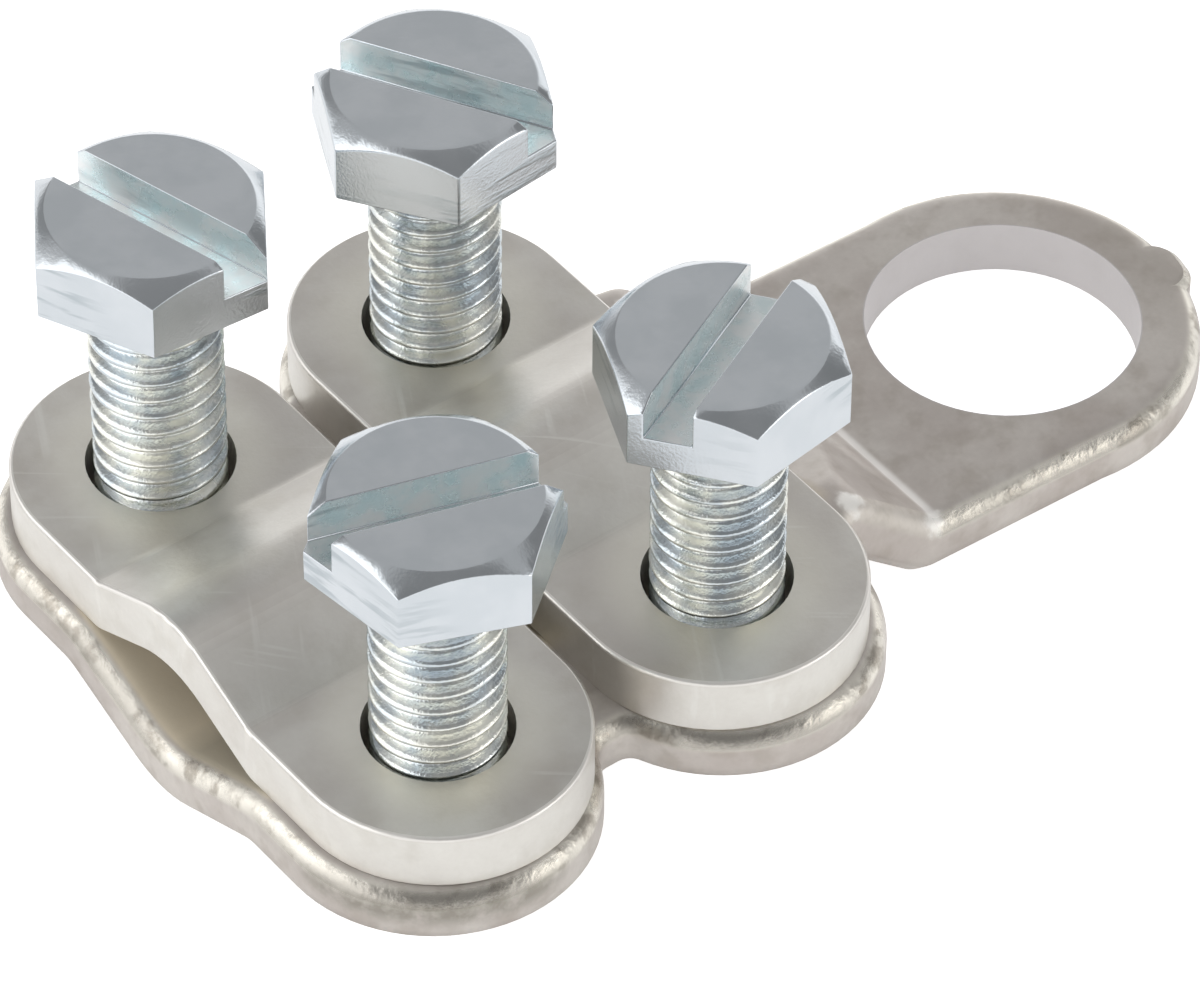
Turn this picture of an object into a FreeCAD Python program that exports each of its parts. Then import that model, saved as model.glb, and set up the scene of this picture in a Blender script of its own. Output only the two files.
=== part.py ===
import FreeCAD, Part
import math
import os

# A screw clamp cable lug: a pressed lug body with an eyelet ring and a cable bed,
# two arched straps that press the cable into the bed, and four slotted hexagon screws.
# All sizes are in millimetres. The origin is on the axis of the ring's bore, level with
# the ring's underside. +X runs from the clamp to the ring, +Z points up.

# Eyelet ring
ring_bore_diameter = 10.5
ring_outside_diameter = 15.2
ring_outline_offset = 0.1

# Pressed lug body
body_thickness = 2.3
clamp_rise = 3.1
neck_narrowing = 0.1
neck_skew_angle = 2.2
ramp_foot_from_bore = 8.8
ramp_angle = 40.0
ramp_foot_radius = 0.6
ramp_crest_radius = 1.5
ear_radius = 6.0
ear_spread = 0.4
notch_floor_from_screws = 2.0
notch_radius = 0.7
neck_corner_radius = 1.5
body_edge_radius = 0.9
body_lower_edge_chamfer = 0.35

# Low stub at the ring's end where the blank was parted from its strip
stub_width = 3.0
stub_height = 0.25
stub_angle = -12.0
stub_corner_radius = 1.2
stub_underside = 0.35
stub_top = body_thickness
stub_edge_chamfer = 0.3

# Cable bed pressed into the lug body
bed_depth = 1.9
bed_side_flat = 1.65
bed_floor_radius = 3.4
bed_fold_radius = 2.6

# Clamp straps
strap_thickness = 2.3
strap_inset = 0.5
strap_gap = 1.4
strap_edge_chamfer = 0.15
arch_rise = 1.7
arch_half_span = 4.9
arch_inner_radius = 4.2
arch_fold_radius = 1.2

# Screw positions
rear_screws_from_bore = 20.4
screw_spacing = 16.8

# Screws
thread_diameter = 4.9
thread_running_clearance = 0.05
strap_hole_diameter = 5.5
screw_length = 16.0
screw_tip_chamfer = 0.5
head_across_flats = 8.1
head_height = 3.0
head_face_diameter = 7.5
head_chamfer_angle = 37.0
slot_width = 1.7
slot_depth = 1.65

# How far each screw's head stands above its strap, and how far the head is turned:
# the angle of one of its corners and of its slot
front_left_lift = 9.4
front_left_head_angle = 55.7
front_left_slot_angle = 106.0
front_right_lift = 8.4
front_right_head_angle = 37.5
front_right_slot_angle = 162.6
rear_left_lift = 8.7
rear_left_head_angle = 4.6
rear_left_slot_angle = 120.0
rear_right_lift = 8.7
rear_right_head_angle = 7.4
rear_right_slot_angle = 25.0

# Each screw: end of the clamp, side, lift, head angle, slot angle
SCREWS = {
    "screw_front_left": ("front", 1, front_left_lift, front_left_head_angle, front_left_slot_angle),
    "screw_front_right": ("front", -1, front_right_lift, front_right_head_angle, front_right_slot_angle),
    "screw_rear_left": ("rear", 1, rear_left_lift, rear_left_head_angle, rear_left_slot_angle),
    "screw_rear_right": ("rear", -1, rear_right_lift, rear_right_head_angle, rear_right_slot_angle),
}

# Levels and places that follow from the sizes above
ring_top = body_thickness
ear_top = ring_top + clamp_rise
ear_underside = ear_top - body_thickness
strap_top = ear_top + strap_thickness
ramp_foot_x = -ramp_foot_from_bore
neck_width = ring_outside_diameter - neck_narrowing
strap_width = 2 * (ear_radius - strap_inset)
screw_pitch = strap_width + strap_gap
ear_pitch = screw_pitch + ear_spread
bed_half_span = neck_width / 2 - bed_side_flat
screw_x = {
    "front": -rear_screws_from_bore - screw_pitch,
    "rear": -rear_screws_from_bore,
}
screw_y = screw_spacing / 2
ear_x = {
    "front": (screw_x["front"] + screw_x["rear"] - ear_pitch) / 2,
    "rear": (screw_x["front"] + screw_x["rear"] + ear_pitch) / 2,
}
front_edge_x = ear_x["front"] - ear_radius
tapped_hole_diameter = thread_diameter + 2 * thread_running_clearance
margin = 5.0


def vector(x, y, z):
    return FreeCAD.Vector(x, y, z)


def line(start, end):
    return Part.makeLine(start, end)


def arc(start, middle, end):
    return Part.Arc(start, middle, end).toShape()


def cylinder(radius, height, x, y, z):
    return Part.makeCylinder(radius, height, vector(x, y, z))


def fold_points(half_span, rise, crest_radius, fold_radius):
    """Height profile of one side of an arch, from its crest out to the flat.

    Two arcs, one at the crest and one at the fold, are joined by their common tangent.
    """
    radii = crest_radius + fold_radius
    lift = radii - rise
    straight = math.sqrt(half_span ** 2 + lift ** 2 - radii ** 2)
    slope = math.atan2(half_span, lift) - math.atan2(straight, radii)
    crest_end = (crest_radius * math.sin(slope), rise - crest_radius * (1 - math.cos(slope)))
    fold_start = (half_span - fold_radius * math.sin(slope), fold_radius * (1 - math.cos(slope)))
    fold_middle = (half_span - fold_radius * math.sin(slope / 2), fold_radius * (1 - math.cos(slope / 2)))
    return crest_end, fold_start, fold_middle


def arch_edges(half_span, rise, crest_radius, fold_radius, level, reach):
    """Flat, fold, crest, fold, flat across Y. A negative rise gives a trough."""
    way = math.copysign(1, rise)
    crest_end, fold_start, fold_middle = fold_points(half_span, abs(rise), crest_radius, fold_radius)

    def at(side, point):
        return vector(0, side * point[0], level + way * point[1])

    crest = at(1, (0, abs(rise)))
    return [
        line(at(-1, (reach, 0)), at(-1, (half_span, 0))),
        arc(at(-1, (half_span, 0)), at(-1, fold_middle), at(-1, fold_start)),
        line(at(-1, fold_start), at(-1, crest_end)),
        arc(at(-1, crest_end), crest, at(1, crest_end)),
        line(at(1, crest_end), at(1, fold_start)),
        arc(at(1, fold_start), at(1, fold_middle), at(1, (half_span, 0))),
        line(at(1, (half_span, 0)), at(1, (reach, 0))),
    ]


def filled_below(edges, floor, sweep):
    """Solid under an open profile, down to a flat floor and drawn out along a vector."""
    start = edges[0].Vertexes[0].Point
    end = edges[-1].Vertexes[-1].Point
    low_start = vector(start.x, start.y, floor)
    low_end = vector(end.x, end.y, floor)
    closing = [line(end, low_end), line(low_end, low_start), line(low_start, start)]
    return Part.Face(Part.Wire(edges + closing)).extrude(sweep)


def rounded_corner(before, corner, after, radius):
    """Tangent points and middle of the arc that rounds a corner of a path."""
    back = (before - corner).normalize()
    ahead = (after - corner).normalize()
    half_angle = back.getAngle(ahead) / 2
    bisector = (back + ahead).normalize()
    tangent = radius / math.tan(half_angle)
    centre = corner + bisector * (radius / math.sin(half_angle))
    return corner + back * tangent, centre - bisector * radius, corner + ahead * tangent


def ramp_edges(upper_level, lower_level, foot_x, crest_radius, foot_radius):
    """Side view of the ramp along X, from the ears' level down to the ring's."""
    run = (upper_level - lower_level) / math.tan(math.radians(ramp_angle))
    start = vector(front_edge_x - margin, 0, upper_level)
    crest = vector(foot_x - run, 0, upper_level)
    foot = vector(foot_x, 0, lower_level)
    end = vector(ring_outside_diameter / 2 + margin, 0, lower_level)
    crest_from, crest_middle, crest_to = rounded_corner(start, crest, foot, crest_radius)
    foot_from, foot_middle, foot_to = rounded_corner(crest, foot, end, foot_radius)
    return [
        line(start, crest_from),
        arc(crest_from, crest_middle, crest_to),
        line(crest_to, foot_from),
        arc(foot_from, foot_middle, foot_to),
        line(foot_to, end),
    ]


def pressed_plate():
    """The bent sheet before it is trimmed: ramp and cable bed at one thickness."""
    reach = screw_y + ear_radius + margin
    floor = -margin - bed_depth
    length = vector(ring_outside_diameter / 2 + 2 * margin - front_edge_x, 0, 0)
    start = vector(front_edge_x - margin, 0, 0)
    width = vector(0, 2 * reach, 0)
    shift = body_thickness * math.tan(math.radians(ramp_angle / 2))

    bed_top = arch_edges(bed_half_span, -bed_depth, bed_floor_radius, bed_fold_radius, ear_top, reach)
    bed_under = arch_edges(
        bed_half_span,
        -bed_depth,
        bed_floor_radius + body_thickness / 2,
        bed_fold_radius - body_thickness / 2,
        ear_underside,
        reach,
    )
    ramp_top = ramp_edges(ear_top, ring_top, ramp_foot_x, ramp_crest_radius, ramp_foot_radius)
    ramp_under = ramp_edges(
        ear_underside,
        0,
        ramp_foot_x - shift,
        ramp_foot_radius,
        ramp_foot_radius + body_thickness / 2,
    )

    upper = filled_below(bed_top, floor, length)
    upper.translate(start)
    upper_ramp = filled_below(ramp_top, floor, width)
    upper_ramp.translate(vector(0, -reach, 0))
    lower = filled_below(bed_under, floor - margin, length)
    lower.translate(start)
    lower_ramp = filled_below(ramp_under, floor - margin, width)
    lower_ramp.translate(vector(0, -reach, 0))
    return upper.common(upper_ramp).cut(lower.common(lower_ramp))


def inner_corners(prism):
    """Upright edges of a prism where its outline turns inward."""
    found = []
    for edge in prism.Edges:
        ends = [vertex.Point for vertex in edge.Vertexes]
        if len(ends) != 2 or abs(ends[0].z - ends[1].z) < 1:
            continue
        middle = (ends[0] + ends[1]) / 2
        around = [
            middle + vector(0.05 * math.cos(math.radians(turn)), 0.05 * math.sin(math.radians(turn)), 0)
            for turn in range(0, 360, 5)
        ]
        inside = sum(prism.isInside(point, 1e-6, False) for point in around)
        if inside > 0.53 * len(around):
            found.append((middle.x, edge))
    return found


def body_outline():
    """Prism of the blank's outline: ring, neck, and four ears with a notch between each pair.

    The bore sits slightly off the middle of the ring, and the neck is slightly skewed to it.
    """
    low = -margin - bed_depth
    height = ear_top + 2 * margin + bed_depth
    ring = cylinder(ring_outside_diameter / 2, height, 0, ring_outline_offset, low)
    neck = Part.makeBox(
        rear_screws_from_bore,
        neck_width,
        height,
        vector(-rear_screws_from_bore, ring_outline_offset - neck_width / 2, low),
    )
    neck.rotate(vector(0, ring_outline_offset, 0), vector(0, 0, 1), -neck_skew_angle)

    side_y = screw_y + notch_floor_from_screws
    middle = Part.makeBox(ear_pitch, 2 * side_y, height, vector(ear_x["front"], -side_y, low))
    front = Part.makeBox(ear_radius, screw_spacing, height, vector(front_edge_x, -screw_y, low))
    ears = [cylinder(ear_radius, height, x, side * screw_y, low) for x in ear_x.values() for side in (-1, 1)]
    prism = middle.multiFuse([ring, neck, front] + ears).removeSplitter()
    corners = inner_corners(prism)
    notches = [edge for x, edge in corners if x < screw_x["rear"]]
    neck_corners = [edge for x, edge in corners if screw_x["rear"] < x < ramp_foot_x]
    return prism.makeFillet(notch_radius, notches).makeFillet(neck_corner_radius, neck_corners)


def parting_stub():
    """Low stub on the ring's rim, left from the strip the blank was cut out of."""
    reach = ring_outside_diameter / 2 + stub_height
    height = stub_top - stub_underside
    stub = Part.makeBox(reach, stub_width, height, vector(0, -stub_width / 2, stub_underside))
    corners = [
        edge
        for edge in stub.Edges
        if abs(edge.tangentAt(edge.FirstParameter).z) > 0.9 and edge.CenterOfMass.x > reach - 0.01
    ]
    stub = stub.makeFillet(stub_corner_radius, corners)
    rims = [
        edge
        for edge in stub.Edges
        if edge.CenterOfMass.z > stub_top - 0.01 and edge.CenterOfMass.x > 0.01
    ]
    stub = stub.makeChamfer(stub_edge_chamfer, rims)
    stub.rotate(vector(0, 0, 0), vector(0, 0, 1), stub_angle)
    stub.translate(vector(0, ring_outline_offset, 0))
    return stub


def normal_z(face, point):
    """Z part of a face's outward normal beside a point."""
    u, v = face.Surface.parameter(point)
    return face.normalAt(u, v).z


def rim_edges(shape, way):
    """Edges between an upright wall and a face that looks up (way 1) or down (way -1)."""
    rims = []
    for edge in shape.Edges:
        faces = shape.ancestorsOfType(edge, Part.Face)
        if len(faces) != 2:
            continue
        point = edge.valueAt((edge.FirstParameter + edge.LastParameter) / 2)
        heights = sorted(way * normal_z(face, point) for face in faces)
        if abs(heights[0]) < 0.05 and heights[1] > 0.3:
            rims.append(edge)
    return rims


def lug_body():
    body = pressed_plate().common(body_outline())
    body = body.makeFillet(body_edge_radius, rim_edges(body, 1))
    body = body.makeChamfer(body_lower_edge_chamfer, rim_edges(body, -1))
    body = body.fuse(parting_stub())
    bore = cylinder(ring_bore_diameter / 2, body_thickness + 2 * margin, 0, 0, -margin)
    tapped = [
        cylinder(tapped_hole_diameter / 2, ear_top + 2 * margin, x, side * screw_y, -margin)
        for x in screw_x.values()
        for side in (-1, 1)
    ]
    return body.cut([bore] + tapped)


def strap(x):
    """Arched strap over one pair of ears, centred at a place along X."""
    half_width = strap_width / 2
    reach = screw_y + half_width + margin
    floor = ear_top - margin
    sweep = vector(strap_width + 2 * margin, 0, 0)
    outer = arch_edges(
        arch_half_span,
        arch_rise,
        arch_inner_radius,
        arch_fold_radius,
        strap_top,
        reach,
    )
    inner = arch_edges(arch_half_span, arch_rise, arch_inner_radius, arch_fold_radius, ear_top, reach)
    arch = filled_below(outer, floor, sweep).cut(filled_below(inner, floor - margin, sweep))
    arch.translate(vector(x - half_width - margin, 0, 0))

    height = strap_thickness + arch_rise + 2 * margin
    plan = Part.makeBox(strap_width, screw_spacing, height, vector(x - half_width, -screw_y, floor))
    ends = [cylinder(half_width, height, x, side * screw_y, floor) for side in (-1, 1)]
    body = arch.common(plan.multiFuse(ends).removeSplitter())
    body = body.makeChamfer(strap_edge_chamfer, rim_edges(body, 1))
    holes = [cylinder(strap_hole_diameter / 2, height, x, side * screw_y, floor) for side in (-1, 1)]
    return body.cut(holes)


def screw(head_angle, slot_angle):
    """Slotted hexagon screw with its head's underside at the origin and its tip below."""
    corner_radius = head_across_flats / 2 / math.cos(math.radians(30))
    corners = []
    for step in range(7):
        turn = math.radians(head_angle + 60 * step)
        corners.append(vector(corner_radius * math.cos(turn), corner_radius * math.sin(turn), 0))
    hexagon = Part.Face(Part.makePolygon(corners)).extrude(vector(0, 0, head_height))

    face_radius = head_face_diameter / 2
    foot_radius = face_radius + head_height / math.tan(math.radians(head_chamfer_angle))
    cone = Part.makeCone(foot_radius, face_radius, head_height)
    head = hexagon.common(cone)

    slot_length = 2 * foot_radius
    slot = Part.makeBox(slot_length, slot_width, slot_depth + margin)
    slot.translate(vector(-slot_length / 2, -slot_width / 2, head_height - slot_depth))
    slot.rotate(vector(0, 0, 0), vector(0, 0, 1), slot_angle)
    head = head.cut(slot)

    radius = thread_diameter / 2
    shank_side = [
        vector(0, 0, 0),
        vector(radius, 0, 0),
        vector(radius, 0, screw_tip_chamfer - screw_length),
        vector(radius - screw_tip_chamfer, 0, -screw_length),
        vector(0, 0, -screw_length),
        vector(0, 0, 0),
    ]
    shank = Part.Face(Part.makePolygon(shank_side)).revolve(vector(0, 0, 0), vector(0, 0, 1))
    return head.fuse(shank).removeSplitter()


def build():
    parts = {
        "lug_body": lug_body(),
        "front_strap": strap(screw_x["front"]),
        "rear_strap": strap(screw_x["rear"]),
    }
    for name, (end, side, lift, head_angle, slot_angle) in SCREWS.items():
        piece = screw(head_angle, slot_angle)
        piece.translate(vector(screw_x[end], side * screw_y, strap_top + lift))
        parts[name] = piece
    return parts


os.makedirs("parts", exist_ok=True)
for name, shape in build().items():
    if len(shape.Solids) != 1 or not shape.isValid():
        raise SystemExit(f"{name} is not one valid solid")
    shape.Solids[0].exportStep(f"parts/{name}.step")
    print(name, round(shape.Volume, 2), len(shape.Faces))
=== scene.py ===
import math

import bmesh
import bpy
from mathutils import Matrix, Vector


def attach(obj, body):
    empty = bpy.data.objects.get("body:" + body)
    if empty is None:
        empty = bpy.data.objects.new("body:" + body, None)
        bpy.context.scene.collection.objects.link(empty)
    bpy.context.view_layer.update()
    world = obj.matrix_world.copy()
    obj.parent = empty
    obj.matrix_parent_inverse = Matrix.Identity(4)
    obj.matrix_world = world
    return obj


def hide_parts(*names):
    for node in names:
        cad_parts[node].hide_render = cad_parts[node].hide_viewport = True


MM = 0.001

# Sizes that the finished screws share with the solids, in millimetres
THREAD_DIAMETER = 4.9
SCREW_LENGTH = 16.0
TIP_CHAMFER = 0.5
HEAD_HEIGHT = 3.0
SLOT_WIDTH = 1.7
SLOT_DEPTH = 1.65

# Sizes that only the finished screws have, in millimetres
THREAD_PITCH = 0.8
THREAD_DEPTH = 0.42
EASED_EDGE = 0.1

# How many pitches above the head's underside the thread's winding starts
THREAD_START = 1.5

# Where the thread's flank begins and ends, as shares of half a pitch from the middle of the crest
THREAD_FLANK = (0.1, 0.86)

# Doubled points lie closer together than this, in a solid and in a thread, in millimetres
SOLID_WELD = 0.0005
THREAD_WELD = 0.002

# Slack in millimetres when a part of a head is told by its place
PLACE_SLACK = 0.02

# Angles on a head, in degrees: faces below the first are one flat face, edges past the second are sharp
FLAT_ANGLE = 0.5
SHARP_ANGLE = 28

# Cosine of the most that a face of the slot is off the way that it should point
NEARLY_ALONG = 0.95

# Places of the screws: the two rows along X and the distance to either side of the middle
ROW_PLACES = (-32.8, -20.4)
SIDE_PLACE = 8.4

# Each screw: body, place in plan, level of the head's underside, then slot angle and thread start in degrees
SCREWS = {
    "screw_front_left": ("bolt_front_left", (ROW_PLACES[0], SIDE_PLACE), 17.1, 106.0, 0.0),
    "screw_front_right": ("bolt_front_right", (ROW_PLACES[0], -SIDE_PLACE), 16.1, 162.6, 130.0),
    "screw_rear_left": ("bolt_rear_left", (ROW_PLACES[1], SIDE_PLACE), 16.4, 120.0, 250.0),
    "screw_rear_right": ("bolt_rear_right", (ROW_PLACES[1], -SIDE_PLACE), 16.4, 25.0, 60.0),
}

# Where the looks of the pressed pieces change, in millimetres: a pair runs from none to full
RAMP_START = (-15.0, -14.2)
RAMP_END = (-7.6, -8.2)
RAMP_FOOT = -8.8
CREASE_HALF_WIDTH = (0.34, 0.1)
NECK_RIM_END = (-8.7, -9.1)
BED_SIDE = (6.2, 5.6)
BED_REAR = (-13.0, -14.0)
FRONT_EARS = (-27.0, -31.0)
EAR_WALL_TOP = (3.7, 4.4)
RING_END = (3.5, 7.0)
BORE_WALL = (5.31, 5.27)
OUTSIDE_BORE = (6.0, 6.3)
SCREW_NEARBY = (5.0, 3.0)

# Radius to which the lug's rims look rounded, in millimetres
RIM_ROUNDING = 0.8

# The neck's outer corners on the +Y side, at the ramp's crest and foot, and how far their painted highlight
# reaches
NECK_CORNERS = ((-12.65, 6.5, 5.2), (-8.9, 6.85, 2.1))
CORNER_REACH = (1.3, 0.8)
CORNER_UNEVENNESS = 1.2

# Colours of the lug's tin, among them painted highlights and painted shade
LUG_TIN = {
    "dull": (0.57, 0.52, 0.485, 1),
    "bright": (0.70, 0.66, 0.62, 1),
    "stain": (0.38, 0.33, 0.28, 1),
    "grain": (0.33, 0.30, 0.27, 1),
    # darker towards the ring's end
    "darker ring end": (0.40, 0.36, 0.32, 1),
    # painted highlight on the rounded rims
    "painted rim highlight": (0.93, 0.89, 0.80, 1),
    "mottled rim": (0.32, 0.28, 0.23, 1),
    # painted shade, a dark reflection, on rims and front ear walls that face the viewer
    "painted shade on front rims": (0.30, 0.28, 0.25, 1),
    "painted shade on front walls": (0.30, 0.28, 0.24, 1),
    # painted highlight on the fold at the ramp's foot
    "crease_highlight": (0.95, 0.93, 0.91, 1),
    # painted highlight on the neck's corners
    "corner": (1.0, 0.98, 0.94, 1),
    "bed film": (0.78, 0.69, 0.52, 1),
    # painted shade on the bed's flank that faces +Y
    "painted shade on bed flank": (0.33, 0.31, 0.25, 1),
    "cut bore": (0.66, 0.635, 0.64, 1),
}

# Colours of the straps' tin, among them painted sheen, a painted reflection and painted highlights
STRAP_TIN = {
    "dull": (0.62, 0.59, 0.555, 1),
    "bright": (0.73, 0.71, 0.67, 1),
    # painted sheen on slopes and sides
    "painted sheen on slopes": (0.94, 0.92, 0.87, 1),
    "stain": (0.50, 0.46, 0.39, 1),
    "grain": (0.48, 0.45, 0.40, 1),
    # partly the screws' yellowish film, partly a painted reflection of them
    "screw film and reflection": (0.99, 0.97, 0.86, 1),
    "scratch": (0.85, 0.84, 0.80, 1),
    # painted highlight on the straps' rounded edges
    "rim": (0.97, 0.94, 0.90, 1),
}

# Colours that the screws' zinc has in streaks and on the level floor of a slot
ZINC_STREAK = (0.30, 0.36, 0.39, 1)
SLOT_FLOOR = (0.25, 0.31, 0.32, 1)

# Plain levels of the room round the object, where 1 is white
ROOM_GREY = 0.51
ROOM_LOW = 1.25
FLOOR_GLOW = 0.85
FLOOR_MIRRORED = 0.52

# Half the side of the white table, in metres
TABLE_HALF_SIZE = 1.2

# Patches of the room: azimuth and elevation in degrees, the nearness at which a patch begins and the one
# at which it is full, where 1 is its middle, and its level
ROOM_PATCHES = {
    "dark round the viewer": (-115, 45, 0.7, 0.88, 0.28),
    "dark on the right": (-18, 22, 0.88, 0.96, 0.26),
    "dark at the back": (93, 25, 0.88, 0.96, 0.33),
    "window on the right": (-58, 10, 0.93, 0.975, 1.35),
    "window on the left": (164, 14, 0.78, 0.88, 1.7),
}

# The photograph's camera: angles in degrees, then the shift from the ring's top on the bore's axis and
# the distance in millimetres, and the focal length in the photograph's own pixels
CAMERA_AZIMUTH = -37.795
CAMERA_ELEVATION = 44.473
CAMERA_ROLL = 0.471
CAMERA_SHIFT = (15.226, 6.688)
CAMERA_DISTANCE = 308.412
FOCAL_PIXELS = 8157.324
PHOTO_WIDTH = 1200
SENSOR_WIDTH = 36.0
RING_TOP = 2.3

# The level part of the way from the object to the camera, as shares of X and Y
TOWARDS_CAMERA = (("X", -0.61), ("Y", -0.79))


# Node tree helpers

def add(tree, kind, **settings):
    node = tree.nodes.new(kind)
    for name, value in settings.items():
        setattr(node, name, value)
    return node


def plug(tree, source, target):
    """Join an output to an input, or set the input where the source is a plain value."""
    if isinstance(source, bpy.types.NodeSocket):
        tree.links.new(source, target)
    else:
        target.default_value = source


def maths(tree, operation, a, b=None):
    node = add(tree, "ShaderNodeMath", operation=operation)
    for socket, value in zip(node.inputs, (a, b)):
        if value is not None:
            plug(tree, value, socket)
    return node.outputs[0]


def product(tree, result, *factors):
    for factor in factors:
        result = maths(tree, "MULTIPLY", result, factor)
    return result


def split(tree, vector):
    """The X, Y and Z outputs of a vector."""
    node = add(tree, "ShaderNodeSeparateXYZ")
    plug(tree, vector, node.inputs[0])
    return node.outputs


def joined_vector(tree, **parts):
    node = add(tree, "ShaderNodeCombineXYZ")
    for axis, value in parts.items():
        plug(tree, value, node.inputs[axis])
    return node.outputs[0]


def remap(tree, value, from_low, from_high, to_low=0.0, to_high=1.0, smooth=False):
    node = add(tree, "ShaderNodeMapRange")
    if smooth:
        node.interpolation_type = "SMOOTHSTEP"
    for name, number in (
        ("Value", value),
        ("From Min", from_low),
        ("From Max", from_high),
        ("To Min", to_low),
        ("To Max", to_high),
    ):
        plug(tree, number, node.inputs[name])
    return node.outputs[0]


def fade(tree, value, span, full=1.0, smooth=False):
    """None to full as a length in metres passes along a span in millimetres."""
    return remap(tree, value, span[0] * MM, span[1] * MM, 0.0, full, smooth)


def blend_colours(tree, factor, low, high):
    node = add(tree, "ShaderNodeMix", data_type="RGBA")
    plug(tree, factor, node.inputs[0])
    plug(tree, low, node.inputs[6])
    plug(tree, high, node.inputs[7])
    return node.outputs[2]


def layered(tree, base, layers):
    """A base colour under layers, each a mask, its share where the mask is full, and a colour."""
    for mask, share, colour in layers:
        base = blend_colours(tree, product(tree, mask, share), base, colour)
    return base


def noise(tree, place, scale, detail=3.0, roughness=0.55, stretch=None):
    if stretch:
        mapping = add(tree, "ShaderNodeMapping")
        plug(tree, place, mapping.inputs["Vector"])
        mapping.inputs["Scale"].default_value = stretch
        place = mapping.outputs[0]
    node = add(tree, "ShaderNodeTexNoise")
    plug(tree, place, node.inputs["Vector"])
    plug(tree, scale, node.inputs["Scale"])
    node.inputs["Detail"].default_value = detail
    node.inputs["Roughness"].default_value = roughness
    return node.outputs["Fac"]


# Screw geometry

def thread_tree(finish):
    """Rolled thread: a strip one pitch wide wound round the axis, tapered to flat ends."""
    tree = bpy.data.node_groups.new("rolled thread", "GeometryNodeTree")
    face = tree.interface
    face.new_socket("Geometry", in_out="OUTPUT", socket_type="NodeSocketGeometry")
    for name, default in (
        ("Diameter", THREAD_DIAMETER * MM),
        ("Pitch", THREAD_PITCH * MM),
        ("Depth", THREAD_DEPTH * MM),
        ("Length", SCREW_LENGTH * MM),
        ("Tip Chamfer", TIP_CHAMFER * MM),
        ("Start Angle", 0.0),
    ):
        socket = face.new_socket(name, in_out="INPUT", socket_type="NodeSocketFloat")
        socket.default_value = default
    given = add(tree, "NodeGroupInput").outputs
    segments, rows = 48, 10
    turns = math.ceil(SCREW_LENGTH / THREAD_PITCH) + 3

    grid = add(tree, "GeometryNodeMeshGrid")
    grid.inputs["Size X"].default_value = float(turns)
    grid.inputs["Size Y"].default_value = 1.0
    grid.inputs["Vertices X"].default_value = turns * segments + 1
    grid.inputs["Vertices Y"].default_value = rows + 1
    place = split(tree, add(tree, "GeometryNodeInputPosition").outputs[0])
    turn = maths(tree, "ADD", place["X"], turns / 2)
    across = maths(tree, "ADD", place["Y"], 0.5)

    # height along the axis, from one pitch above the head's underside down to past the tip
    drop = maths(tree, "SUBTRACT", maths(tree, "SUBTRACT", THREAD_START, turn), across)
    level = product(tree, drop, given["Pitch"])
    tip = product(tree, given["Length"], -1.0)
    top = given["Pitch"]
    height = maths(tree, "MINIMUM", maths(tree, "MAXIMUM", level, tip), top)

    # profile across one pitch: root, flank, crest, flank, root
    radius = product(tree, given["Diameter"], 0.5)
    centred = maths(tree, "SUBTRACT", product(tree, across, 2.0), 1.0)
    from_crest = maths(tree, "ABSOLUTE", centred)
    fall = remap(tree, from_crest, *THREAD_FLANK, smooth=True)
    profile = maths(tree, "SUBTRACT", radius, product(tree, fall, given["Depth"]))
    core = maths(tree, "SUBTRACT", radius, given["Depth"])

    # the tip's chamfer and the end hidden in the head both close in to the core
    above_tip = maths(tree, "SUBTRACT", height, tip)
    tip_radius = maths(tree, "SUBTRACT", radius, given["Tip Chamfer"])
    tapered = maths(tree, "MINIMUM", profile, maths(tree, "ADD", tip_radius, above_tip))
    below_top = product(tree, maths(tree, "SUBTRACT", top, height), 2.0)
    tapered = maths(tree, "MINIMUM", tapered, maths(tree, "ADD", core, below_top))

    angle = product(tree, turn, -2 * math.pi)
    angle = maths(tree, "ADD", angle, given["Start Angle"])
    wound = joined_vector(
        tree,
        X=product(tree, tapered, maths(tree, "COSINE", angle)),
        Y=product(tree, tapered, maths(tree, "SINE", angle)),
        Z=height,
    )
    bent = add(tree, "GeometryNodeSetPosition")
    plug(tree, grid.outputs["Mesh"], bent.inputs["Geometry"])
    plug(tree, wound, bent.inputs["Position"])

    ends = []
    for level_of_end, radius_of_end in ((tip, tip_radius), (top, core)):
        disc = add(tree, "GeometryNodeMeshCircle", fill_type="NGON")
        disc.inputs["Vertices"].default_value = segments
        plug(tree, radius_of_end, disc.inputs["Radius"])
        moved = add(tree, "GeometryNodeTransform")
        plug(tree, disc.outputs["Mesh"], moved.inputs["Geometry"])
        plug(tree, joined_vector(tree, Z=level_of_end), moved.inputs["Translation"])
        plug(tree, joined_vector(tree, Z=given["Start Angle"]), moved.inputs["Rotation"])
        ends.append(moved.outputs[0])

    joined = add(tree, "GeometryNodeJoinGeometry")
    for part in [bent.outputs[0]] + ends:
        tree.links.new(part, joined.inputs[0])
    welded = add(tree, "GeometryNodeMergeByDistance")
    plug(tree, joined.outputs[0], welded.inputs["Geometry"])
    welded.inputs["Distance"].default_value = THREAD_WELD * MM
    return finish_tree(tree, welded.outputs[0], finish)


def finish_tree(tree, shape, finish):
    real = add(tree, "GeometryNodeRealizeInstances")
    plug(tree, shape, real.inputs[0])
    painted = add(tree, "GeometryNodeSetMaterial")
    painted.inputs["Material"].default_value = finish
    plug(tree, real.outputs[0], painted.inputs["Geometry"])
    plug(tree, painted.outputs[0], add(tree, "NodeGroupOutput").inputs[0])
    return tree


def plain_copy(piece):
    """The mesh that an object has once its modifiers have run."""
    bpy.context.view_layer.update()
    finished = piece.evaluated_get(bpy.context.evaluated_depsgraph_get())
    return bpy.data.meshes.new_from_object(finished)


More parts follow.
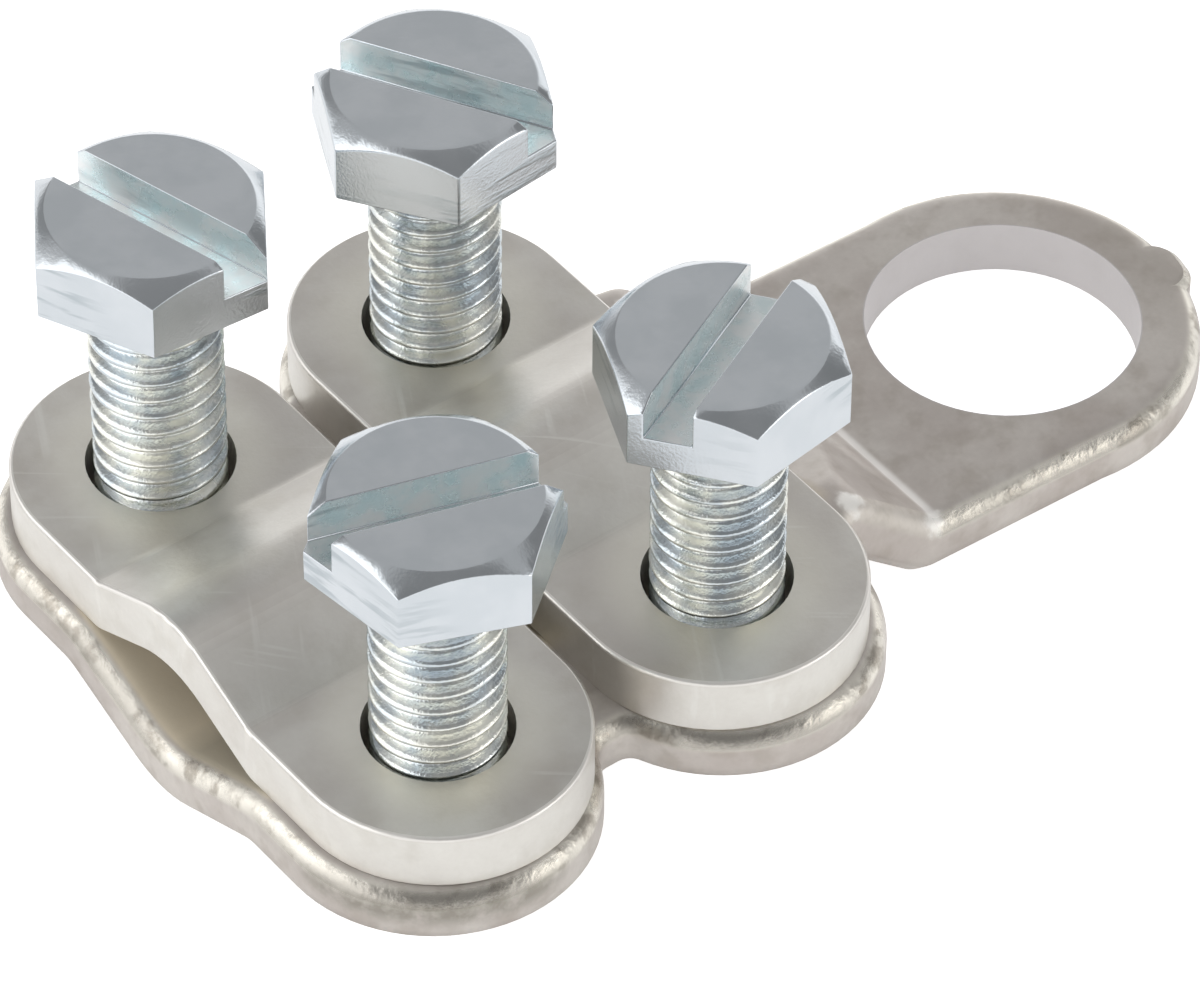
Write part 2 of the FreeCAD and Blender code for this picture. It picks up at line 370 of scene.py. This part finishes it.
def grown(name, tree, values):
    """The plain mesh that a geometry tree gives with these values."""
    blank = bpy.data.objects.new(name, bpy.data.meshes.new(name))
    bpy.context.scene.collection.objects.link(blank)
    modifier = blank.modifiers.new("shape", "NODES")
    modifier.node_group = tree
    for socket in tree.interface.items_tree:
        if socket.in_out == "INPUT" and socket.name in values:
            modifier[socket.identifier] = values[socket.name]
    mesh = plain_copy(blank)
    bpy.data.objects.remove(blank)
    return mesh


def welded_solid(node):
    """A node's solid as a mesh being made, its doubled points merged."""
    form = bmesh.new()
    form.from_mesh(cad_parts[node].data)
    bmesh.ops.remove_doubles(form, verts=form.verts, dist=SOLID_WELD * MM)
    return form


def plain_mesh(form, name):
    """The made mesh without the normals that the solid's file brought along."""
    mesh = bpy.data.meshes.new(name)
    form.to_mesh(mesh)
    form.free()
    if "custom_normal" in mesh.attributes:
        mesh.attributes.remove(mesh.attributes["custom_normal"])
    return mesh


def eased_head(node, place, level, slot_angle):
    """The hexagon head of a screw's solid, parted from its shank, with its sharp edges eased.

    The slot's walls and floor get the second finish.
    """
    form = welded_solid(node)
    below = (level - PLACE_SLACK) * MM
    shank = [vert for vert in form.verts if vert.co.z < below]
    bmesh.ops.delete(form, geom=shank, context="VERTS")
    bmesh.ops.holes_fill(form, edges=[edge for edge in form.edges if edge.is_boundary])
    flat = math.radians(FLAT_ANGLE)
    bmesh.ops.dissolve_limit(form, angle_limit=flat, verts=form.verts, edges=form.edges)
    sharp = [edge for edge in form.edges if edge.calc_face_angle(0.0) > math.radians(SHARP_ANGLE)]
    bmesh.ops.bevel(
        form,
        geom=sharp,
        offset=EASED_EDGE * MM,
        segments=2,
        profile=0.5,
        affect="EDGES",
        clamp_overlap=True,
    )
    form.normal_update()
    across = Vector((-math.sin(slot_angle), math.cos(slot_angle), 0))
    slot_floor = Vector(place + (level + HEAD_HEIGHT - SLOT_DEPTH,))
    for face in form.faces:
        middle = face.calc_center_median() / MM - slot_floor
        inside = abs(middle.dot(across)) < SLOT_WIDTH / 2 + PLACE_SLACK and middle.z > -PLACE_SLACK
        squareness = max(face.normal.z, abs(face.normal.dot(across)))
        if inside and squareness > NEARLY_ALONG:
            face.material_index = 1
    return plain_mesh(form, node + "_top")


def made_piece(name, form, finishes):
    """An object at the origin from a mesh being made that is already in its place."""
    mesh = plain_mesh(form, name)
    for finish in finishes:
        mesh.materials.append(finish)
    piece = bpy.data.objects.new(name, mesh)
    bpy.context.scene.collection.objects.link(piece)
    return piece


def even_shading(piece, sharp_angle):
    """Smooth shading that keeps flat faces flat: normals weighted by face area."""
    mesh = piece.data
    mesh.shade_smooth()
    mesh.set_sharp_from_angle(angle=math.radians(sharp_angle))
    weighted = piece.modifiers.new("weighted normals", "WEIGHTED_NORMAL")
    weighted.weight = 100
    weighted.keep_sharp = True
    final = plain_copy(piece)
    final.name = piece.name
    piece.modifiers.clear()
    piece.data = final


def screws(finish, slot_finish, thread_finish):
    thread = thread_tree(thread_finish)
    for node, (body, (x, y), level, slot_angle, start) in SCREWS.items():
        shank = grown(node + "_thread", thread, {"Start Angle": math.radians(start)})
        shank.transform(Matrix.Translation(Vector((x, y, level)) * MM))
        for face in shank.polygons:
            face.material_index = 2
        form = bmesh.new()
        form.from_mesh(shank)
        form.from_mesh(eased_head(node, (x, y), level, math.radians(slot_angle)))
        piece = made_piece(node + "_finished", form, [finish, slot_finish, thread_finish])
        even_shading(piece, sharp_angle=60)
        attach(piece, body)
        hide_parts(node)


def pressed_sheet(node, body, finish, name, sharp_angle):
    """A pressed piece with its solid's own shape, its doubled points merged for smooth shading."""
    piece = made_piece(name, welded_solid(node), [finish])
    even_shading(piece, sharp_angle)
    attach(piece, body)
    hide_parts(node)


# Finishes

def new_finish(name):
    finish = bpy.data.materials.new(name)
    finish.use_nodes = True
    tree = finish.node_tree
    shader = tree.nodes["Principled BSDF"]
    place = add(tree, "ShaderNodeTexCoord").outputs["Object"]
    return finish, tree, shader, place


def dented(tree, shader, height, strength, distance, normal=None):
    """Relief on a shader, so many millimetres high, over its own normal or over another one."""
    bump = add(tree, "ShaderNodeBump")
    if normal is not None:
        plug(tree, normal, bump.inputs["Normal"])
    bump.inputs["Strength"].default_value = strength
    bump.inputs["Distance"].default_value = distance * MM
    plug(tree, height, bump.inputs["Height"])
    plug(tree, bump.outputs[0], shader.inputs["Normal"])


def group(name, inputs, outputs):
    """A shader node group with named sockets, and its inside ends."""
    tree = bpy.data.node_groups.new(name, "ShaderNodeTree")
    kinds = {"number": "NodeSocketFloat", "vector": "NodeSocketVector"}
    for label, kind, default in inputs:
        socket = tree.interface.new_socket(label, in_out="INPUT", socket_type=kinds[kind])
        if default is not None:
            socket.default_value = default
    for label in outputs:
        tree.interface.new_socket(label, in_out="OUTPUT", socket_type=kinds["number"])
    return tree, add(tree, "NodeGroupInput").outputs, add(tree, "NodeGroupOutput").inputs


def placed_group(tree, inner, **values):
    node = add(tree, "ShaderNodeGroup")
    node.node_tree = inner
    for name, value in values.items():
        plug(tree, value, node.inputs[name.replace("_", " ")])
    return node.outputs


def rim_group():
    """Masks for the places on a pressed piece that look different from its flat top.

    Rim is 1 on a rounded rim and 0 on flat tops and upright walls. The ramp and the cable bed slope
    as well, and are told by where they are and how they face.
    """
    tree, given, out = group(
        "rim",
        [("Place", "vector", None), ("Facing", "vector", None)],
        ["Rim", "Upward", "Front", "Endways", "Bed", "Flank", "Wall", "Crease", "Corner"],
    )
    facing = split(tree, given["Facing"])
    spot = split(tree, given["Place"])
    up = facing["Z"]
    off_centre = maths(tree, "ABSOLUTE", spot["Y"])
    plug(tree, up, out["Upward"])
    plug(tree, facing["X"], out["Endways"])
    front = [product(tree, facing[axis], share) for axis, share in TOWARDS_CAMERA]
    plug(tree, maths(tree, "ADD", *front), out["Front"])

    # the ramp and the bed face along one axis only, unlike the rims beside them
    not_sideways = remap(tree, maths(tree, "ABSOLUTE", facing["Y"]), 0.42, 0.22)
    not_lengthways = remap(tree, maths(tree, "ABSOLUTE", facing["X"]), 0.42, 0.22)
    near_ramp = product(tree, fade(tree, spot["X"], RAMP_START), fade(tree, spot["X"], RAMP_END))
    over_bed = product(tree, fade(tree, off_centre, BED_SIDE), fade(tree, spot["X"], BED_REAR))
    ramp = product(tree, near_ramp, not_sideways)
    bed = product(tree, over_bed, not_lengthways)
    beside_ramp = product(tree, near_ramp, fade(tree, spot["X"], NECK_RIM_END, full=0.65))
    plain = maths(tree, "MAXIMUM", maths(tree, "MAXIMUM", ramp, bed), beside_ramp)
    off_wall = remap(tree, up, 0.05, 0.3, smooth=True)
    off_top = remap(tree, up, 0.97, 0.8, smooth=True)
    plug(tree, product(tree, off_wall, off_top, maths(tree, "SUBTRACT", 1.0, plain)), out["Rim"])
    bed = product(tree, bed, remap(tree, up, 0.2, 0.5))
    plug(tree, bed, out["Bed"])
    # the bed's flank that faces +Y, which gets painted shade
    plug(tree, product(tree, bed, remap(tree, facing["Y"], 0.0, 0.45)), out["Flank"])

    # the upper part of the front ears' walls, which the round rim runs down into
    high = product(tree, remap(tree, up, 0.5, 0.3), fade(tree, spot["Z"], EAR_WALL_TOP))
    plug(tree, product(tree, high, fade(tree, spot["X"], FRONT_EARS)), out["Wall"])

    # the fold at the ramp's foot, and the neck's corners, both given a painted highlight
    off_foot = maths(tree, "ABSOLUTE", maths(tree, "SUBTRACT", spot["X"], RAMP_FOOT * MM))
    crease_highlight = product(tree, fade(tree, off_foot, CREASE_HALF_WIDTH, smooth=True), remap(tree, up, 0.7, 0.85))
    plug(tree, crease_highlight, out["Crease"])
    folded = joined_vector(tree, X=spot["X"], Y=off_centre, Z=spot["Z"])
    uneven = product(tree, noise(tree, given["Place"], 1500.0), CORNER_UNEVENNESS * MM)
    corners = []
    for corner in NECK_CORNERS:
        away = add(tree, "ShaderNodeVectorMath", operation="DISTANCE")
        plug(tree, folded, away.inputs[0])
        away.inputs[1].default_value = Vector(corner) * MM
        reached = maths(tree, "ADD", away.outputs["Value"], uneven)
        corners.append(fade(tree, reached, CORNER_REACH, smooth=True))
    plug(tree, maths(tree, "MAXIMUM", *corners), out["Corner"])
    return tree


def plating_group():
    """Uneven plating: slow clouds, small stains and a fine grain, each from 0 to 1."""
    tree, given, out = group(
        "uneven plating",
        [("Place", "vector", None), ("Cloud Scale", "number", 180.0), ("Grain Scale", "number", 6000.0)],
        ["Cloud", "Stain", "Grain"],
    )
    cloud = noise(tree, given["Place"], given["Cloud Scale"], detail=4.0)
    plug(tree, remap(tree, cloud, 0.35, 0.65, smooth=True), out["Cloud"])
    stain = noise(tree, given["Place"], product(tree, given["Cloud Scale"], 3.1))
    plug(tree, remap(tree, stain, 0.45, 0.72, smooth=True), out["Stain"])
    plug(tree, noise(tree, given["Place"], given["Grain Scale"], detail=2.0), out["Grain"])
    return tree


def scratch_group():
    """Fine straight scratches, from 0 to 1, that run along one way across the plate."""
    tree, given, out = group(
        "scratches",
        [("Place", "vector", None), ("Turn", "number", 0.0), ("Scale", "number", 1000.0)],
        ["Scratch"],
    )
    turned = add(tree, "ShaderNodeVectorRotate", rotation_type="Z_AXIS")
    plug(tree, given["Place"], turned.inputs["Vector"])
    plug(tree, given["Turn"], turned.inputs["Angle"])
    lines = noise(tree, turned.outputs[0], given["Scale"], detail=2.0, stretch=(0.03, 1.0, 0.2))
    patches = noise(tree, turned.outputs[0], product(tree, given["Scale"], 0.12), detail=1.0)
    kept = product(tree, remap(tree, lines, 0.62, 0.7), remap(tree, patches, 0.5, 0.6))
    plug(tree, kept, out["Scratch"])
    return tree


def near_screw_group():
    """How near a spot is to the nearest screw, through folding the four places into one; it places the
    straps' yellowish patch, partly the screws' film and partly a painted reflection of them.
    """
    middle = (ROW_PLACES[0] + ROW_PLACES[1]) / 2 * MM
    off_middle = abs(ROW_PLACES[0] - ROW_PLACES[1]) / 2 * MM
    tree, given, out = group("near a screw", [("Place", "vector", None)], ["Near"])
    spot = split(tree, given["Place"])
    lengthways = maths(tree, "ABSOLUTE", maths(tree, "SUBTRACT", spot["X"], middle))
    lengthways = maths(tree, "SUBTRACT", lengthways, off_middle)
    sideways = maths(tree, "SUBTRACT", maths(tree, "ABSOLUTE", spot["Y"]), SIDE_PLACE * MM)
    squares = [product(tree, span, span) for span in (lengthways, sideways)]
    away = maths(tree, "SQRT", maths(tree, "ADD", *squares))
    plug(tree, fade(tree, away, SCREW_NEARBY, full=0.4, smooth=True), out["Near"])
    return tree


def distance_from_bore_axis(tree, place):
    flat = add(tree, "ShaderNodeVectorMath", operation="MULTIPLY")
    plug(tree, place, flat.inputs[0])
    flat.inputs[1].default_value = (1, 1, 0)
    length = add(tree, "ShaderNodeVectorMath", operation="LENGTH")
    plug(tree, flat.outputs[0], length.inputs[0])
    return length.outputs["Value"]


def rounder_rims(tree, plain_normal, from_axis):
    """Normals of rims that are rounder than the solid's, apart from the cut edge of the bore."""
    rounded = add(tree, "ShaderNodeBevel", samples=6)
    rounded.inputs["Radius"].default_value = RIM_ROUNDING * MM
    chosen = add(tree, "ShaderNodeMix", data_type="VECTOR")
    plug(tree, fade(tree, from_axis, OUTSIDE_BORE), chosen.inputs[0])
    plug(tree, plain_normal, chosen.inputs[4])
    plug(tree, rounded.outputs[0], chosen.inputs[5])
    return chosen.outputs[1]


def tin_lug_finish(rim, plating):
    """Matte tin: dented rims with painted highlights and painted shade, painted highlights at the ramp's
    foot and the neck's corners, a brown film in the bed with painted shade on one flank, and a cleanly cut
    bore.
    """
    finish, tree, shader, place = new_finish("matte tin on the lug")
    look = placed_group(tree, plating, Place=place, Cloud_Scale=240.0, Grain_Scale=4600.0)
    plain_normal = add(tree, "ShaderNodeNewGeometry").outputs["Normal"]
    edge = placed_group(tree, rim, Place=place, Facing=plain_normal)
    from_axis = distance_from_bore_axis(tree, place)
    dents = noise(tree, place, 1300.0, detail=3.0, roughness=0.6)
    waves = noise(tree, place, 420.0, detail=2.0, roughness=0.5)

    # the rounded rim gets a painted highlight, weaker where it faces the ring's end, painted shade where it
    # faces the viewer, and darker mottling; all is darker towards the ring's end
    darker_ring_end = fade(tree, split(tree, place)["X"], RING_END, smooth=True)
    rim_highlight = remap(tree, edge["Endways"], 0.45, 0.8, 0.9, 0.15, smooth=True)
    patchy = maths(tree, "ADD", product(tree, dents, 0.5), product(tree, waves, 0.5))
    mottled = remap(tree, patchy, 0.49, 0.62, smooth=True)
    # painted shade where rims and the front ears' upper walls face the viewer
    front_rim_shade = remap(tree, edge["Front"], 0.35, 0.75, smooth=True)
    wall_in_front = remap(tree, edge["Front"], 0.5, 0.85, smooth=True)
    front_wall_shade = product(tree, edge["Wall"], wall_in_front, remap(tree, dents, 0.35, 0.6, 0.3, 0.85))
    base = blend_colours(tree, look["Cloud"], LUG_TIN["dull"], LUG_TIN["bright"])
    base = layered(tree, base, (
        (look["Stain"], 0.38, LUG_TIN["stain"]),
        (look["Grain"], 0.22, LUG_TIN["grain"]),
        (darker_ring_end, 0.45, LUG_TIN["darker ring end"]),
        (product(tree, edge["Rim"], rim_highlight), 1.0, LUG_TIN["painted rim highlight"]),
        (product(tree, edge["Rim"], mottled), 0.7, LUG_TIN["mottled rim"]),
        (product(tree, edge["Rim"], front_rim_shade), 0.7, LUG_TIN["painted shade on front rims"]),
        (front_wall_shade, 1.0, LUG_TIN["painted shade on front walls"]),
        # painted highlights at the ramp's foot and the neck's corners
        (edge["Crease"], 0.6, LUG_TIN["crease_highlight"]),
        (edge["Corner"], 0.9, LUG_TIN["corner"]),
        (edge["Bed"], 0.8, LUG_TIN["bed film"]),
        (edge["Flank"], 0.75, LUG_TIN["painted shade on bed flank"]),
        (fade(tree, from_axis, BORE_WALL), 0.85, LUG_TIN["cut bore"]),
    ))
    plug(tree, base, shader.inputs["Base Color"])

    # less metal in the bed's film and under the painted highlights of the neck's corners
    film_and_corner_highlight = maths(tree, "MAXIMUM", edge["Bed"], product(tree, edge["Corner"], 0.9))
    plug(tree, remap(tree, film_and_corner_highlight, 0.0, 1.0, 0.85, 0.2), shader.inputs["Metallic"])
    rough = remap(tree, look["Cloud"], 0.0, 1.0, 0.4, 0.5)
    rough = maths(tree, "SUBTRACT", rough, product(tree, edge["Rim"], 0.2))
    plug(tree, maths(tree, "ADD", rough, product(tree, edge["Bed"], 0.2)), shader.inputs["Roughness"])
    relief = product(tree, maths(tree, "ADD", product(tree, dents, 0.75), waves), edge["Rim"])
    relief = maths(tree, "ADD", relief, product(tree, look["Grain"], 0.06))
    rounded = rounder_rims(tree, plain_normal, from_axis)
    dented(tree, shader, relief, strength=0.7, distance=0.12, normal=rounded)
    return finish


def tin_strap_finish(rim, plating, scratch, near_screw):
    """Satin tin with painted sheen on slopes and sides, painted highlights on edges, a yellowish patch round
    the screws that is partly their film and partly a painted reflection of them, and a few scratches.
    """
    finish, tree, shader, place = new_finish("satin tin on the straps")
    look = placed_group(tree, plating, Place=place, Cloud_Scale=220.0, Grain_Scale=5200.0)
    facet = add(tree, "ShaderNodeNewGeometry").outputs["True Normal"]
    edge = placed_group(tree, rim, Place=place, Facing=facet)
    rubbed = noise(tree, place, 900.0, detail=3.0, stretch=(0.15, 1.0, 1.0))
    scores = [
        placed_group(tree, scratch, Place=place, Turn=math.radians(turn), Scale=scale)["Scratch"]
        for turn, scale in ((38, 2600.0), (-62, 1900.0))
    ]
    base = blend_colours(tree, look["Cloud"], STRAP_TIN["dull"], STRAP_TIN["bright"])
    base = layered(tree, base, (
        # painted sheen where the strap slopes or stands upright
        (remap(tree, edge["Upward"], 0.99, 0.9), 0.4, STRAP_TIN["painted sheen on slopes"]),
        (look["Stain"], 0.2, STRAP_TIN["stain"]),
        (look["Grain"], 0.16, STRAP_TIN["grain"]),
        # yellowish patch round each screw: partly their film, partly a painted reflection
        (placed_group(tree, near_screw, Place=place)["Near"], 1.0, STRAP_TIN["screw film and reflection"]),
        (maths(tree, "MAXIMUM", *scores), 0.4, STRAP_TIN["scratch"]),
        # painted highlight on the straps' rounded edges
        (edge["Rim"], 0.7, STRAP_TIN["rim"]),
    ))
    plug(tree, base, shader.inputs["Base Color"])
    shader.inputs["Metallic"].default_value = 0.8
    plug(tree, remap(tree, rubbed, 0.3, 0.7, 0.33, 0.43), shader.inputs["Roughness"])
    relief = maths(tree, "ADD", product(tree, rubbed, 0.5), product(tree, look["Grain"], 0.5))
    dented(tree, shader, relief, strength=0.5, distance=0.03)
    return finish


def zinc_finish(plating, name, dull, bright, roughness, cloud_scale=420.0, relief=0.02, film=0.0):
    """Zinc with a passivated film; streaks run level on parts of the faces that stand upright.

    Relief is its height in millimetres, and film is how far upright faces are milky and level ones
    dull, as in a slot.
    """
    finish, tree, shader, place = new_finish(name)
    look = placed_group(tree, plating, Place=place, Cloud_Scale=cloud_scale, Grain_Scale=9000.0)
    facing = split(tree, add(tree, "ShaderNodeNewGeometry").outputs["True Normal"])
    upright = remap(tree, maths(tree, "ABSOLUTE", facing["Z"]), 0.5, 0.2)
    level_lines = noise(tree, place, 1400.0, detail=3.0, stretch=(0.22, 0.22, 1.6))
    patches = noise(tree, place, 170.0, detail=1.0)
    streak = product(
        tree,
        remap(tree, level_lines, 0.48, 0.64, smooth=True),
        upright,
        remap(tree, patches, 0.45, 0.6, smooth=True),
    )
    base = blend_colours(tree, look["Cloud"], dull, bright)
    base = layered(tree, base, ((streak, 0.5, ZINC_STREAK),))
    shader.inputs["Metallic"].default_value = 1.0
    if film:
        base = layered(tree, base, ((maths(tree, "SUBTRACT", 1.0, upright), film, SLOT_FLOOR),))
        plug(tree, remap(tree, upright, 0.0, 1.0, 1.0, 1.0 - film), shader.inputs["Metallic"])
    plug(tree, base, shader.inputs["Base Color"])
    plug(tree, remap(tree, look["Cloud"], 0.0, 1.0, *roughness), shader.inputs["Roughness"])
    dented(tree, shader, maths(tree, "ADD", look["Grain"], streak), strength=0.3, distance=relief)
    return finish


# Studio

def studio_floor():
    corners = [(-1, -1), (1, -1), (1, 1), (-1, 1)]
    mesh = bpy.data.meshes.new("white_table")
    mesh.from_pydata(
        [(x * TABLE_HALF_SIZE, y * TABLE_HALF_SIZE, 0) for x, y in corners],
        [],
        [(0, 1, 2, 3)],
    )
    table = bpy.data.objects.new("white_table", mesh)
    bpy.context.scene.collection.objects.link(table)
    finish = bpy.data.materials.new("white table")
    finish.use_nodes = True
    tree = finish.node_tree
    shader = tree.nodes["Principled BSDF"]
    shader.inputs["Base Color"].default_value = (0.7, 0.7, 0.7, 1)
    shader.inputs["Roughness"].default_value = 0.8
    shader.inputs["Specular IOR Level"].default_value = 0.1
    ray = add(tree, "ShaderNodeLightPath")
    seen = product(tree, ray.outputs["Is Camera Ray"], FLOOR_GLOW)
    mirrored = product(tree, ray.outputs["Is Glossy Ray"], FLOOR_MIRRORED)
    shader.inputs["Emission Color"].default_value = (1, 1, 1, 1)
    plug(tree, maths(tree, "ADD", seen, mirrored), shader.inputs["Emission Strength"])
    mesh.materials.append(finish)


def studio_world():
    """A grey room: windows on the right and left, dark near the viewer, white low down."""
    world = bpy.data.worlds.new("studio")
    bpy.context.scene.world = world
    world.use_nodes = True
    tree = world.node_tree
    background = tree.nodes["Background"]
    ray = add(tree, "ShaderNodeLightPath")
    way = add(tree, "ShaderNodeTexCoord").outputs["Generated"]
    up = split(tree, way)["Z"]

    def towards(azimuth, elevation):
        """1 where a direction points at this place in the room, falling to -1 opposite."""
        a, e = math.radians(azimuth), math.radians(elevation)
        node = add(tree, "ShaderNodeVectorMath", operation="DOT_PRODUCT")
        plug(tree, way, node.inputs[0])
        node.inputs[1].default_value = (math.cos(a) * math.cos(e), math.sin(a) * math.cos(e), math.sin(e))
        return node.outputs["Value"]

    def painted(level, mask, grey):
        """The room's level with another one laid over it where the mask is."""
        kept = product(tree, level, maths(tree, "SUBTRACT", 1.0, mask))
        return maths(tree, "ADD", kept, product(tree, mask, grey))

    level = remap(tree, up, 0.12, 0.64, ROOM_LOW, ROOM_GREY, smooth=True)
    for azimuth, elevation, none, full, grey in ROOM_PATCHES.values():
        level = painted(level, remap(tree, towards(azimuth, elevation), none, full, smooth=True), grey)
    level = painted(level, remap(tree, up, 0.06, -0.02, smooth=True), 1.0)
    level = painted(level, ray.outputs["Is Camera Ray"], 1.0)
    background.inputs["Color"].default_value = (1, 1, 1, 1)
    plug(tree, level, background.inputs["Strength"])


def lamp(name, place, aim, size, power, colour=(1, 1, 1)):
    light = bpy.data.lights.new(name, "AREA")
    light.shape = "RECTANGLE"
    light.size, light.size_y = size
    light.energy = power
    light.color = colour
    piece = bpy.data.objects.new(name, light)
    bpy.context.scene.collection.objects.link(piece)
    piece.location = place
    piece.rotation_euler = (Vector(aim) - Vector(place)).to_track_quat("-Z", "Y").to_euler()
    return piece


def camera():
    angles = (CAMERA_AZIMUTH, CAMERA_ELEVATION, CAMERA_ROLL)
    azimuth, elevation, roll = (math.radians(angle) for angle in angles)
    across, upward = CAMERA_SHIFT
    back = Vector((
        math.sin(azimuth) * math.cos(elevation),
        -math.cos(azimuth) * math.cos(elevation),
        math.sin(elevation),
    ))
    level_right = Vector((math.cos(azimuth), math.sin(azimuth), 0))
    level_up = back.cross(level_right)
    right = math.cos(roll) * level_right + math.sin(roll) * level_up
    up = math.cos(roll) * level_up - math.sin(roll) * level_right
    eye = back * CAMERA_DISTANCE - right * across - up * upward + Vector((0, 0, RING_TOP))
    data = bpy.data.cameras.new("camera")
    data.sensor_fit = "HORIZONTAL"
    data.sensor_width = SENSOR_WIDTH
    data.lens = FOCAL_PIXELS / PHOTO_WIDTH * SENSOR_WIDTH
    data.clip_start = 0.01
    data.clip_end = 10.0
    view = bpy.data.objects.new("camera", data)
    bpy.context.scene.collection.objects.link(view)
    turn = Matrix((right, up, back)).transposed().to_4x4()
    view.matrix_world = Matrix.Translation(eye * MM) @ turn
    bpy.context.scene.camera = view


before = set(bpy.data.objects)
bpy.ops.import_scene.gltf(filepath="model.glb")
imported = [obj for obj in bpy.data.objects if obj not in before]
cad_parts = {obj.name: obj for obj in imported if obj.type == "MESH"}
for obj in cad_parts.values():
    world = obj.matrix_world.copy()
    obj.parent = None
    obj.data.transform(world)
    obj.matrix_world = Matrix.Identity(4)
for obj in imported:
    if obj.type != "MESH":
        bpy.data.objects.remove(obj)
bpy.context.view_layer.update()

rim = rim_group()
plating = plating_group()
lug_tin = tin_lug_finish(rim, plating)
strap_tin = tin_strap_finish(rim, plating, scratch_group(), near_screw_group())
zinc = zinc_finish(
    plating,
    "bright blue zinc",
    dull=(0.63, 0.67, 0.705, 1),
    bright=(0.68, 0.715, 0.75, 1),
    roughness=(0.16, 0.22),
)
slot_zinc = zinc_finish(
    plating,
    "thicker blue film in the slots",
    dull=(0.82, 0.93, 0.95, 1),
    bright=(0.99, 1.0, 1.0, 1),
    roughness=(0.22, 0.36),
    cloud_scale=900.0,
    film=0.15,
)
thread_zinc = zinc_finish(
    plating,
    "yellowish zinc on the threads",
    dull=(0.60, 0.66, 0.70, 1),
    bright=(0.97, 0.97, 0.89, 1),
    roughness=(0.14, 0.3),
    cloud_scale=500.0,
    relief=0.06,
)

pressed_sheet("lug_body", "lug", lug_tin, "pressed_lug", 42)
pressed_sheet("front_strap", "strap_front", strap_tin, "pressed_front_strap", 60)
pressed_sheet("rear_strap", "strap_rear", strap_tin, "pressed_rear_strap", 60)
screws(zinc, slot_zinc, thread_zinc)

studio_floor()
studio_world()
fill = lamp(
    "overhead fill",
    place=(-0.03, 0.0, 0.45),
    aim=(-0.02, 0, 0),
    size=(0.4, 0.4),
    power=0.6,
)
fill.visible_glossy = False
lamp(
    "right softbox",
    place=(0.24, -0.4, 0.085),
    aim=(-0.01, 0, 0),
    size=(0.16, 0.12),
    power=0.12,
    colour=(1.0, 0.97, 0.9),
)
camera()
bpy.context.scene.view_settings.view_transform = "Standard"
